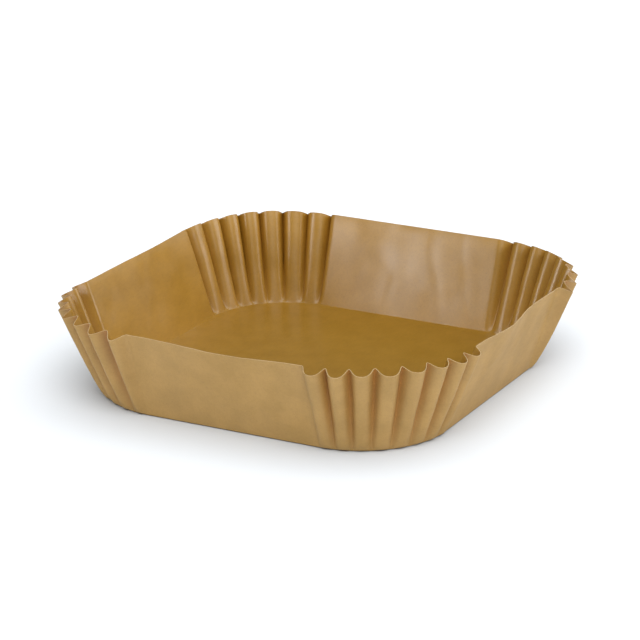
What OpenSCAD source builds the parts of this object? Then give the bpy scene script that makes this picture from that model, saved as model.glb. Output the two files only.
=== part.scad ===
// Square paper liner with fluted corners, pressed from one flat sheet of kraft paper.
// Frame: origin at the middle of the floor's underside, +Z up. The front wall faces -Y, the right wall +X.
// Walls and corners are numbered 0 front, 1 right, 2 back, 3 left; corner k follows wall k anticlockwise.

/* [Tray] */
// Width over the fold lines of the floor
floor_w = 158; // [130:1:180]
// Width over the flat walls at the rim
rim_w = 186; // [172:1:220]
// Height of the rim on the flat walls
liner_h = 40; // [25:1:60]
// Corner radius of the floor
floor_r = 38.5; // [30:0.5:50]
// Corner radius of the rim, between the flutes
rim_r = 52; // [44:0.5:62]
// Outside radius of the fold between the floor and the walls
fold_r = 0.4; // [0.4:0.1:4]
// Thickness of the paper
paper_t = 0.08; // [0.06:0.01:0.3]

/* [Flutes] */
// Flutes that stand out of each corner
flutes = 8; // [5:1:10]
// Depth of a flute at the rim, square to the wall
flute_depth = 5.1; // [2:0.1:7]
// How the depth grows up the wall: 1 is a straight wedge, less is deeper near the floor
flute_growth = 0.45; // [0.3:0.05:1.5]
// Difference in depth from one flute to the next, as a share
flute_variation = 0.08; // [0:0.01:0.2]
// How far a flute is shifted round the corner, as a share of the pitch
flute_drift = 0.12; // [0:0.01:0.25]
// Breadth of the front right corner's flutes: over 0 they are broad outside, under 0 broad inside
front_right_breadth = 2.4; // [-0.9:0.05:3]
// The same for the back right corner
back_right_breadth = -0.7; // [-0.9:0.05:3]
// The same for the back left corner
back_left_breadth = -0.85; // [-0.9:0.05:3]
// The same for the front left corner
front_left_breadth = 0.1; // [-0.9:0.05:3]
// Extra height of the rim in the middle of a corner
corner_rise = 0.8; // [0:0.1:3]
// How much lower the rim is on the crest of a flute in the back corners
back_crest_drop = 1; // [0:0.1:3]
// The same in the front corners
front_crest_drop = 0.2; // [0:0.1:3]

/* [Set of the walls] */
// How far the front wall bellies out at the rim
front_bow = 2; // [-3:0.1:4]
// The same for the right wall
right_bow = 1.2; // [-3:0.1:4]
// The same for the back wall
back_bow = 0.6; // [-3:0.1:4]
// The same for the left wall
left_bow = -1.2; // [-3:0.1:4]
// How far the right wall's rim swings in and out along its length
right_sway = -2.2; // [-4:0.1:4]
// The same for the front wall
front_sway = 0.8; // [-4:0.1:4]
// The same for the left wall
left_sway = 1.2; // [-4:0.1:4]

/* [Hidden] */

// Samples for one flute, one flat wall, the fold and the straight of the wall
flute_steps = 8;
wall_steps = 7;
fold_steps = 2;
rise_steps = 4;
// The rings crowd towards the floor, where the flutes grow fastest
ring_crowding = 1.5;
// The walls' bellies grow faster than the height
bow_growth = 1.5;
// Step for the slope of the surface
eps = 0.001;

flare = (rim_w - floor_w) / 2;
lean = atan2(liner_h, flare);
fold_reach = fold_r * tan(lean / 2);
fold_length = fold_r * lean * PI / 180;
straight_length = norm([flare, liner_h]) - fold_reach;
bows = [front_bow, right_bow, back_bow, left_bow];
sways = [front_sway, right_sway, 0, left_sway];
breadths = [front_right_breadth, back_right_breadth, back_left_breadth, front_left_breadth];
crest_drops = [front_crest_drop, back_crest_drop, back_crest_drop, front_crest_drop];

// A station is [side, true in a corner, place]: place runs -1 to 1 along a flat wall, 0 to 1 round a corner.
stations = [
    for (side = [0:3]) each concat(
        [for (i = [0:wall_steps - 1]) [side, false, 2 * i / wall_steps - 1]],
        [for (i = [0:flutes * flute_steps - 1]) [side, true, i / (flutes * flute_steps)]]
    )
];
// Distances up the section, from where the fold leaves the floor to the rim
rings = concat(
    [for (i = [0:fold_steps]) fold_length * i / fold_steps],
    [for (i = [1:rise_steps]) fold_length + straight_length * pow(i / rise_steps, ring_crowding)]
);

// Section through a flat wall, [distance from the middle, height], at distance s from the start of the fold
function section(s) =
    s < fold_length
    ? let(turn = s / fold_r * 180 / PI)
        [floor_w / 2 - fold_reach + fold_r * sin(turn), fold_r * (1 - cos(turn))]
    : [floor_w / 2 - fold_reach + fold_r * sin(lean) + (s - fold_length) * cos(lean),
        fold_r * (1 - cos(lean)) + (s - fold_length) * sin(lean)];

// Share of the straight of the wall that lies below distance s
function risen(s) = max(0, s - fold_length) / straight_length;

// One flute across its pitch, 0 at both ends and 1 on the crest, which is broad where breadth is over 0
function wave(phase, breadth) =
    let(even = (1 - cos(360 * phase)) / 2)
    even * (1 + breadth) / (1 + breadth * even);

// How far a corner's paper stands out of its plain shell at the rim, and that as a share of the flute's own depth
function flute(side, place) =
    let(
        count = flutes * place,
        own_depth = flute_depth * (1 + flute_variation * sin(137 * floor(count) + 95 * side)),
        share = wave(count, breadths[side])
    )
    [own_depth * share, share];

// Place round a corner once its flute is shifted
function shifted(side, place) = place - flute_drift / flutes * sin(360 * place + 70 * side) * sin(180 * place);

// How far a flat wall stands out of its plane at the rim
function bow(side, place) = pow(cos(90 * place), 2) * (bows[side] + sways[side] * sin(180 * place));

function quarter_turns(p, n) = n == 0 ? p : quarter_turns([-p[1], p[0], p[2]], n - 1);

// Point on the outside of the paper
function outside(station, s) =
    let(
        corner = station[1],
        place = station[2],
        at = section(s),
        share = (at[0] - floor_w / 2) / flare,
        radius = floor_r + (rim_r - floor_r) * share,
        centre = at[0] - radius,
        angle = corner ? 90 * shifted(station[0], place) - 90 : -90,
        out = [cos(angle), sin(angle), 0],
        plain = corner ? [centre, -centre, at[1]] + radius * out : [place * centre, -at[0], at[1]],
        flute = flute(station[0], place),
        drop = crest_drops[station[0]] * flute[1],
        up = corner ? (corner_rise * pow(sin(180 * place), 2) - drop) * risen(s) : 0,
        stand = corner
            ? flute[0] * pow(risen(s), flute_growth)
            : bow(station[0], place) * pow(risen(s), bow_growth)
    )
    quarter_turns(plain + [0, 0, up] + stand * (sin(lean) * out - [0, 0, cos(lean)]), station[0]);

function unit(v) = v / norm(v);

// The surface's outward direction; the floor faces straight down
function facing(station, s) =
    s == 0 ? [0, 0, -1]
    : let(ahead = [station[0], station[1], station[2] + eps])
        unit(cross(outside(ahead, s) - outside(station, s), outside(station, s) - outside(station, s - eps)));

function inside(station, s) = outside(station, s) - paper_t * facing(station, s);

module liner() {
    around = len(stations);
    top = len(rings) - 1;
    function at(face, ring, i) = (face * (top + 1) + ring) * around + i % around;
    function quad(a, b, c, d) = [[a, b, c], [a, c, d]];
    points = concat(
        [for (s = rings) for (station = stations) outside(station, s)],
        [for (s = rings) for (station = stations) inside(station, s)],
        [[0, 0, 0], [0, 0, paper_t]]
    );
    middle = 2 * (top + 1) * around;
    walls = [
        for (ring = [0:top - 1]) for (i = [0:around - 1]) each concat(
            quad(at(0, ring, i), at(0, ring + 1, i), at(0, ring + 1, i + 1), at(0, ring, i + 1)),
            quad(at(1, ring, i), at(1, ring, i + 1), at(1, ring + 1, i + 1), at(1, ring + 1, i))
        )
    ];
    rim = [
        for (i = [0:around - 1])
            each quad(at(0, top, i), at(1, top, i), at(1, top, i + 1), at(0, top, i + 1))
    ];
    floors = [
        for (i = [0:around - 1]) each [
            [middle, at(0, 0, i), at(0, 0, i + 1)],
            [middle + 1, at(1, 0, i + 1), at(1, 0, i)]
        ]
    ];
    color([0.69, 0.56, 0.36])
        polyhedron(points, concat(walls, rim, floors), convexity = 8);
}

liner();
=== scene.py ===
"""Looks of a square paper liner with fluted corners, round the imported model. All sizes are in metres."""

import bpy
import numpy as np
from mathutils import Matrix, Vector, noise


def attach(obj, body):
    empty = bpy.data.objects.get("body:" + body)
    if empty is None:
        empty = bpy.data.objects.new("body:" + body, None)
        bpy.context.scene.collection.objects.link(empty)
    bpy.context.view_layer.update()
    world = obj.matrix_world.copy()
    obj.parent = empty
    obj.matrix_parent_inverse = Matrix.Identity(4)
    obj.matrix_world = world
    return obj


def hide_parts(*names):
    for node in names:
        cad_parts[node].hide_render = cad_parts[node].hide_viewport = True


MM = 0.001

# The tray, as in the part's source
FLOOR_W = 158 * MM
RIM_W = 186 * MM
LINER_H = 40 * MM
FLOOR_R = 38.5 * MM
RIM_R = 52 * MM
FOLD_R = 0.4 * MM

# The flutes; corner k follows wall k anticlockwise, from the front right corner
FLUTES = 8
FLUTE_DEPTH = 5.1 * MM
FLUTE_GROWTH = 0.45
FLUTE_VARIATION = 0.08
FLUTE_DRIFT = 0.12
FLUTE_BREADTHS = np.array([2.4, -0.7, -0.85, 0.1])
CORNER_RISE = 0.8 * MM
CREST_DROPS = np.array([0.2, 1, 1, 0.2]) * MM

# Bellies and swings of the front, right, back and left walls at the rim
BOWS = np.array([2, 1.2, 0.6, -1.2]) * MM
SWAYS = np.array([0.8, -2.2, 0, 1.2]) * MM
BOW_GROWTH = 1.5

# The paper is drawn thicker than it is, so that its cut edge, which carries a painted highlight, can be seen
PAPER_T = 0.3 * MM

# Its unevenness: the walls' swells, ripples and creases, the floor's waves, and how wide each of them is
WALL_WAVE = 0.35 * MM
WALL_WAVE_SIZE = 24 * MM
WALL_RIPPLE = 0.14 * MM
WALL_RIPPLE_SIZE = 9 * MM
CREASE = 0.15 * MM
CREASE_SIZE = 15 * MM
CREASE_SHARPNESS = 5
FLOOR_WAVE = 0.5 * MM
FLOOR_WAVE_SIZE = 38 * MM

# The cut edge curls outwards, from this share of the height up
RIM_CURL = 0.15 * MM
RIM_CURL_START = 0.93

# How fast the painted shade in the hollow of a flute fades towards the next flute, seen from outside and
# from inside
OUTSIDE_HOLLOW_SHADE_FADE = 2
INSIDE_HOLLOW_SHADE_FADE = 1.3

# Samples for one flute, one flat wall, the fold, the straight of the wall and the floor
FLUTE_STEPS = 22
WALL_STEPS = 44
FOLD_STEPS = 4
RISE_STEPS = 30
FLOOR_STEPS = 14
# The rings crowd towards the floor, where the flutes grow fastest
RING_CROWDING = 1.2
# Edges that turn by more than this, in degrees, look sharp
SHARP_TURN = 35

# Fibres stand out of the paper by this much
FIBRE_BUMP = 0.1 * MM
FIBRE_BUMP_STRENGTH = 0.25

# The table runs out of view, and lies a little under the paper so that the two don't meet
TABLE_SIZE = 40
TABLE_DROP = 0.4 * MM
ROOM_LIGHT = 0.09

# Camera: the photograph's angles in degrees, and its place beside its own axis
CAMERA_AZIMUTH = 28.23
CAMERA_ELEVATION = 19.22
CAMERA_ROLL = -0.54
CAMERA_SIDE = -0.869 * MM
CAMERA_RISE = 22.55 * MM
CAMERA_DISTANCE = 1272.5 * MM
# Lens and sensor are in millimetres
CAMERA_LENS = 164.25
CAMERA_SENSOR = 36

WHITE = (1, 1, 1)
# Nothing is divided by less than this
NEARLY_NONE = 1e-12

FLARE = (RIM_W - FLOOR_W) / 2
LEAN = np.arctan2(LINER_H, FLARE)
FOLD_REACH = FOLD_R * np.tan(LEAN / 2)
FOLD_LENGTH = FOLD_R * LEAN
STRAIGHT_LENGTH = np.hypot(FLARE, LINER_H) - FOLD_REACH


def section(s):
    """How far out and how high a flat wall is, at distance s from the start of the fold."""
    turn = np.minimum(s, FOLD_LENGTH) / FOLD_R
    straight = np.maximum(s - FOLD_LENGTH, 0)
    reach = FLOOR_W / 2 - FOLD_REACH + FOLD_R * np.sin(turn) + straight * np.cos(LEAN)
    height = FOLD_R * (1 - np.cos(turn)) + straight * np.sin(LEAN)
    return reach, height


def risen(s):
    """Share of the straight of the wall that lies below distance s."""
    return np.maximum(s - FOLD_LENGTH, 0) / STRAIGHT_LENGTH


def wave(phase, breadth):
    """One flute across its pitch, 0 at both ends and 1 on the crest, broad there where breadth is over 0."""
    even = (1 - np.cos(2 * np.pi * phase)) / 2
    return even * (1 + breadth) / (1 + breadth * even)


def flute(side, place):
    """How far a corner's paper stands out of its plain shell at the rim, and as a share of its flute."""
    count = FLUTES * place
    own_depth = 1 + FLUTE_VARIATION * np.sin(np.radians(137) * np.floor(count) + np.radians(95) * side)
    share = wave(count, FLUTE_BREADTHS[side])
    return FLUTE_DEPTH * own_depth * share, share


def shifted(side, place):
    """Place round a corner once its flute is shifted."""
    swing = np.sin(2 * np.pi * place + np.radians(70) * side) * np.sin(np.pi * place)
    return place - FLUTE_DRIFT / FLUTES * swing


def bow(side, place):
    """How far a flat wall stands out of its plane at the rim."""
    return np.cos(np.pi / 2 * place) ** 2 * (BOWS[side] + SWAYS[side] * np.sin(np.pi * place))


def stations():
    """Side, corner flag and place of each sample, anticlockwise from the left end of the front wall."""
    wall = 2 * np.arange(WALL_STEPS) / WALL_STEPS - 1
    corner = np.arange(FLUTES * FLUTE_STEPS) / (FLUTES * FLUTE_STEPS)
    side = np.repeat(np.arange(4), len(wall) + len(corner))
    in_corner = np.tile(np.r_[np.zeros(len(wall), bool), np.ones(len(corner), bool)], 4)
    place = np.tile(np.r_[wall, corner], 4)
    return side, in_corner, place


def shell(side, in_corner, place, s):
    """Outside of the paper: an array of points, one row for each distance s up the section."""
    s = s[:, None]
    reach, height = section(s)
    radius = FLOOR_R + (RIM_R - FLOOR_R) * (reach - FLOOR_W / 2) / FLARE
    centre = reach - radius
    angle = np.where(in_corner, np.pi / 2 * shifted(side, place) - np.pi / 2, -np.pi / 2)
    out_x = np.cos(angle)
    out_y = np.sin(angle)
    x = np.where(in_corner, centre + radius * out_x, place * centre)
    y = np.where(in_corner, -centre + radius * out_y, -reach)
    flute_stand, flute_share = flute(side, place)
    rise = CORNER_RISE * np.sin(np.pi * place) ** 2 - CREST_DROPS[side] * flute_share
    up = np.where(in_corner, rise * risen(s), 0)
    fluted = flute_stand * risen(s) ** FLUTE_GROWTH
    bellied = bow(side, place) * risen(s) ** BOW_GROWTH
    stand = np.where(in_corner, fluted, bellied)
    x = x + stand * np.sin(LEAN) * out_x
    y = y + stand * np.sin(LEAN) * out_y
    z = height + up - stand * np.cos(LEAN)
    turn = side * np.pi / 2
    turned_x = x * np.cos(turn) - y * np.sin(turn)
    turned_y = x * np.sin(turn) + y * np.cos(turn)
    return np.stack([turned_x, turned_y, z], -1)


def normals(grid):
    """Outward directions of a grid of points that closes round its second axis."""
    round_tray = np.roll(grid, -1, 1) - np.roll(grid, 1, 1)
    up_wall = np.gradient(grid, axis=0)
    cross = np.cross(round_tray, up_wall)
    return cross / np.maximum(np.linalg.norm(cross, axis=-1, keepdims=True), NEARLY_NONE)


def uneven(points, size, seed, tall=1):
    """Smooth noise from -1 to 1 at each point, with lumps of the given size and tall times that height."""
    flat = points.reshape(-1, 3) / size / (1, 1, tall) + seed
    values = [noise.noise(Vector(p)) for p in flat]
    return np.array(values).reshape(points.shape[:-1])


def wall_swell(grid, in_corner, place):
    """How far each point of the walls swells out or sinks in."""
    swell = WALL_WAVE * uneven(grid, WALL_WAVE_SIZE, seed=3.1)
    swell += WALL_RIPPLE * uneven(grid, WALL_RIPPLE_SIZE, seed=7.7)
    # Handling leaves faint creases on the flat walls, where one lump of the noise turns into the next
    turning = np.abs(uneven(grid, CREASE_SIZE, seed=5.2, tall=2))
    ridge = np.clip(1 - CREASE_SHARPNESS * turning, 0, 1)
    swell += np.where(in_corner, 0, CREASE * ridge * np.cos(np.pi / 2 * place) ** 0.5)
    # The fold holds the foot of the walls: the swell is full from a third of the height up
    return swell * np.clip(grid[..., 2] / LINER_H * 3, 0, 1)


def floor_lift(grid, inwards):
    """How far each point of the floor lifts off the table. Its edge stays down, and so do the walls."""
    from_edge = np.r_[1 - inwards, np.zeros(len(grid) - len(inwards))][:, None]
    lift = FLOOR_WAVE * (0.5 + uneven(grid, FLOOR_WAVE_SIZE, seed=1.3))
    return np.clip(lift * np.clip(from_edge * 6, 0, 1), 0, None)


def hollow_shading(side, in_corner, place, rise):
    """How much painted shade each point takes, 0 to 1, by how deep it lies in the hollow of a flute, seen
    from outside and from inside.
    """
    depth = np.r_[np.zeros(FLOOR_STEPS - 1), risen(rise) ** FLUTE_GROWTH][:, None]
    share = flute(side, place)[1]
    # Outside, the half valleys at the ends of a corner run into the flat walls and take no painted shade
    between = in_corner & (np.abs(place - 0.5) < 0.5 - 0.5 / FLUTES)
    outside = depth * np.where(between, 1 - share, 0) ** OUTSIDE_HOLLOW_SHADE_FADE
    inside = depth * np.where(in_corner, share, 0) ** INSIDE_HOLLOW_SHADE_FADE
    return outside, inside


def paper_sheet():
    """Rings of the paper's outside, from the middle of the floor out to the rim, and how much painted shade
    each point takes in the hollows of the flutes.
    """
    side, in_corner, place = stations()
    rise = np.r_[
        FOLD_LENGTH * np.arange(FOLD_STEPS) / FOLD_STEPS,
        FOLD_LENGTH + STRAIGHT_LENGTH * (np.arange(RISE_STEPS + 1) / RISE_STEPS) ** RING_CROWDING,
    ]
    walls = shell(side, in_corner, place, rise)
    inwards = np.arange(1, FLOOR_STEPS) / FLOOR_STEPS
    plain = np.concatenate([walls[0] * inwards[:, None, None], walls])
    facing = normals(plain)
    grid = plain + facing * wall_swell(plain, in_corner, place)[..., None]
    grid[..., 2] += floor_lift(grid, inwards)
    curling = (plain[..., 2] / LINER_H - RIM_CURL_START) / (1 - RIM_CURL_START)
    curl = RIM_CURL * np.clip(curling, 0, 1) ** 2
    return grid + facing * curl[..., None], hollow_shading(side, in_corner, place, rise)


def paper_faces(rings, around):
    """Faces of the outside, of the inside and of the cut edge. The two middle points come last."""
    index = np.arange(rings * around).reshape(rings, around)
    ahead = np.roll(index, -1, 1)
    inner = rings * around
    middle = 2 * inner
    skin = np.stack([index[:-1], ahead[:-1], ahead[1:], index[1:]], -1).reshape(-1, 4)
    hub = np.stack([np.full(around, middle), ahead[0], index[0]], -1)
    inner_hub = np.stack([np.full(around, middle + 1), index[0] + inner, ahead[0] + inner], -1)
    edge = np.stack([index[-1], ahead[-1], ahead[-1] + inner, index[-1] + inner], -1)
    outside = [*skin.tolist(), *hub.tolist()]
    inside = [*(skin[:, ::-1] + inner).tolist(), *inner_hub.tolist()]
    return outside, inside, edge.tolist()


def build_liner():
    """The whole liner as one closed mesh, with an outside, an inside and a cut edge."""
    outside, hollow_shades = paper_sheet()
    inside = outside - PAPER_T * normals(outside)
    middle = [outside[0].mean(0), inside[0].mean(0)]
    points = np.concatenate([outside.reshape(-1, 3), inside.reshape(-1, 3), middle])
    outer_faces, inner_faces, edge_faces = paper_faces(*outside.shape[:2])
    mesh = bpy.data.meshes.new("liner_paper")
    mesh.from_pydata(points.tolist(), [], outer_faces + inner_faces + edge_faces)
    finish = np.repeat([0, 1, 2], [len(outer_faces), len(inner_faces), len(edge_faces)])
    mesh.polygons.foreach_set("material_index", finish)
    # The painted shade in the hollows of the flutes, kept on the points for the paper's colour
    hollow_shade = mesh.attributes.new("hollow_shade", "FLOAT", "POINT")
    hollow_shade.data.foreach_set("value", np.r_[hollow_shades[0].ravel(), hollow_shades[1].ravel(), 0, 0])
    mesh.shade_smooth()
    mesh.set_sharp_from_angle(angle=np.radians(SHARP_TURN))
    piece = bpy.data.objects.new("liner_paper", mesh)
    bpy.context.collection.objects.link(piece)
    return piece


def new_material(name):
    """A new material, its Principled shader and its node tree."""
    material = bpy.data.materials.new(name)
    material.use_nodes = True
    return material, material.node_tree.nodes["Principled BSDF"], material.node_tree


def kraft_paper(name, pale, deep, hollow_shade_tint, smooth, rough, gloss):
    """Unbleached greaseproof paper: cloudy pulp, fine fibres, painted shade in the hollows of the flutes and
    a faint silicone sheen.
    """
    material, shader, tree = new_material(name)
    nodes, links = tree.nodes, tree.links

    def noise_node(scale, detail, stretch=(1, 1, 1)):
        mapping = nodes.new("ShaderNodeMapping")
        mapping.inputs["Scale"].default_value = stretch
        links.new(place.outputs["Object"], mapping.inputs["Vector"])
        texture = nodes.new("ShaderNodeTexNoise")
        texture.inputs["Scale"].default_value = scale
        texture.inputs["Detail"].default_value = detail
        links.new(mapping.outputs["Vector"], texture.inputs["Vector"])
        return texture.outputs["Fac"]

    def ramp(fac, *stops):
        node = nodes.new("ShaderNodeValToRGB")
        elements = node.color_ramp.elements
        for element, (at, color) in zip(elements, stops):
            element.position = at
            element.color = (*color, 1)
        links.new(fac, node.inputs["Fac"])
        return node.outputs["Color"]

    def multiply(a, b, amount):
        node = nodes.new("ShaderNodeMix")
        node.data_type = "RGBA"
        node.blend_type = "MULTIPLY"
        node.inputs["Factor"].default_value = amount
        links.new(a, node.inputs["A"])
        links.new(b, node.inputs["B"])
        return node.outputs["Result"]

    place = nodes.new("ShaderNodeTexCoord")
    patches = noise_node(scale=34, detail=2, stretch=(1, 1, 0.5))
    clouds = noise_node(scale=90, detail=3)
    fibres = noise_node(scale=900, detail=4, stretch=(1, 0.35, 1))
    flecks = noise_node(scale=2600, detail=2)
    fibre_shade = (0.88, 0.86, 0.84)
    fleck_shade = (0.75, 0.7, 0.62)
    colour = ramp(clouds, (0.35, deep), (0.65, pale))
    colour = multiply(colour, ramp(fibres, (0.35, fibre_shade), (0.6, WHITE)), amount=0.5)
    colour = multiply(colour, ramp(flecks, (0.3, fleck_shade), (0.42, WHITE)), amount=0.6)
    # Painted shade: the colour darkens towards the given tint in the hollows of the flutes
    hollow_shade = nodes.new("ShaderNodeAttribute")
    hollow_shade.attribute_name = "hollow_shade"
    colour = multiply(colour, ramp(hollow_shade.outputs["Fac"], (0, WHITE), (1, hollow_shade_tint)), amount=1)
    links.new(colour, shader.inputs["Base Color"])
    links.new(ramp(patches, (0.35, (smooth,) * 3), (0.65, (rough,) * 3)), shader.inputs["Roughness"])
    shader.inputs["Specular IOR Level"].default_value = gloss
    bump = nodes.new("ShaderNodeBump")
    bump.inputs["Strength"].default_value = FIBRE_BUMP_STRENGTH
    bump.inputs["Distance"].default_value = FIBRE_BUMP
    links.new(fibres, bump.inputs["Height"])
    links.new(bump.outputs["Normal"], shader.inputs["Normal"])
    material.use_backface_culling = True
    return material


def outside_paper():
    """The dull side of the paper."""
    return kraft_paper(
        "kraft_outside",
        pale=(0.395, 0.225, 0.048),
        deep=(0.344, 0.194, 0.0355),
        # Tint of the painted shade in the hollows of the flutes
        hollow_shade_tint=(0.86, 0.6, 0.1),
        smooth=0.6,
        rough=0.72,
        gloss=1,
    )


def inside_paper():
    """The side that shines a little."""
    return kraft_paper(
        "kraft_inside",
        pale=(0.52, 0.282, 0.035),
        deep=(0.468, 0.25, 0.026),
        # Tint of the painted shade in the hollows of the flutes
        hollow_shade_tint=(0.82, 0.72, 0.5),
        smooth=0.29,
        rough=0.39,
        gloss=1,
    )


def rim_highlight_edge():
    """The edge of the sheet, painted paler than the paper as a highlight along the rim."""
    return kraft_paper(
        "kraft_edge_highlight",
        # Painted highlight: these pale colours make the rim read as a thin light line
        pale=(0.7, 0.52, 0.28),
        deep=(0.62, 0.44, 0.22),
        hollow_shade_tint=WHITE,
        smooth=0.7,
        rough=0.8,
        gloss=0.3,
    )


def build_table():
    """A plain table that runs out of view on all sides."""
    bpy.ops.mesh.primitive_plane_add(size=TABLE_SIZE, location=(0, 0, -TABLE_DROP))
    table = bpy.context.object
    table.name = "table"
    material, shader, _ = new_material("table_white")
    shader.inputs["Base Color"].default_value = (0.44, 0.46, 0.48, 1)
    shader.inputs["Roughness"].default_value = 0.9
    shader.inputs["Specular IOR Level"].default_value = 0.2
    table.data.materials.append(material)
    return table


def lamp(name, kind, place, lit, energy):
    """A light that shines from its place onto the middle of the tray, and lights one object alone."""
    light = bpy.data.lights.new(name, kind)
    light.energy = energy
    holder = bpy.data.objects.new(name, light)
    holder.location = place
    holder.rotation_mode = "QUATERNION"
    holder.rotation_quaternion = Vector(place).to_track_quat("Z", "Y")
    bpy.context.collection.objects.link(holder)
    receivers = bpy.data.collections.new(name + "_lights")
    receivers.objects.link(lit)
    holder.light_linking.receiver_collection = receivers
    return light


def add_sun(name, place, lit, energy, spread):
    """A sun whose light comes from a patch of sky that is so many degrees wide."""
    lamp(name, "SUN", place, lit, energy).angle = np.radians(spread)


def add_soft_box(name, place, lit, energy, width):
    """A square soft box."""
    lamp(name, "AREA", place, lit, energy).size = width


def add_strip(name, place, lit, energy, width, height):
    """A soft box that is wide and low."""
    light = lamp(name, "AREA", place, lit, energy)
    light.shape = "RECTANGLE"
    light.size = width
    light.size_y = height


def build_studio(liner, table):
    """A dim white room, two suns for the table, and three soft boxes, a strip and a sun for the liner."""
    world = bpy.data.worlds.new("studio")
    world.use_nodes = True
    world.node_tree.nodes["Background"].inputs["Color"].default_value = (*WHITE, 1)
    world.node_tree.nodes["Background"].inputs["Strength"].default_value = ROOM_LIGHT
    bpy.context.scene.world = world
    add_sun("sky", (0.25, 0.1, 1), table, energy=6, spread=120)
    add_sun("front_fill", (0.5, -0.85, 1.1), table, energy=2.7, spread=50)
    add_soft_box("right_box", (1.24, 0.45, 0.7), liner, energy=8, width=1)
    add_soft_box("left_box", (-0.78, -1.04, 0.36), liner, energy=4.55, width=0.55)
    add_strip("corner_strip", (0.97, -0.93, 0.08), liner, energy=5.1, width=0.8, height=0.12)
    add_soft_box("back_box", (0.47, 1.28, 0.63), liner, energy=4, width=0.9)
    add_sun("top_fill", (0.33, -0.47, 0.82), liner, energy=1.45, spread=60)
    bpy.context.scene.view_settings.view_transform = "Standard"


def build_camera():
    """The camera at the photograph's viewing angle."""
    azimuth, elevation, roll = np.radians([CAMERA_AZIMUTH, CAMERA_ELEVATION, CAMERA_ROLL])
    back = Vector((
        np.sin(azimuth) * np.cos(elevation),
        -np.cos(azimuth) * np.cos(elevation),
        np.sin(elevation),
    ))
    level = Vector((np.cos(azimuth), np.sin(azimuth), 0))
    upright = back.cross(level)
    right = np.cos(roll) * level + np.sin(roll) * upright
    up = back.cross(right)
    camera = bpy.data.cameras.new("camera")
    camera.sensor_width = CAMERA_SENSOR
    camera.lens = CAMERA_LENS
    eye = bpy.data.objects.new("camera", camera)
    place = CAMERA_SIDE * right + CAMERA_RISE * up + CAMERA_DISTANCE * back
    eye.matrix_world = Matrix.Translation(place) @ Matrix((right, up, back)).transposed().to_4x4()
    bpy.context.collection.objects.link(eye)
    bpy.context.scene.camera = eye


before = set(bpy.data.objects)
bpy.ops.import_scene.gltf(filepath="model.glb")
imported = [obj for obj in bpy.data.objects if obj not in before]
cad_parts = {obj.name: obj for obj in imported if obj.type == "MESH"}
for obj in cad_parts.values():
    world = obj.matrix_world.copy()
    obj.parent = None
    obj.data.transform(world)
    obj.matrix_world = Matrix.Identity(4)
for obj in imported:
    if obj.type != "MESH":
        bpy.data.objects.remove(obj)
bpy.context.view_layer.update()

build_camera()
liner = build_liner()
for paper in (outside_paper(), inside_paper(), rim_highlight_edge()):
    liner.data.materials.append(paper)
table = build_table()
build_studio(liner, table)
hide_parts("liner")
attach(liner, "root")
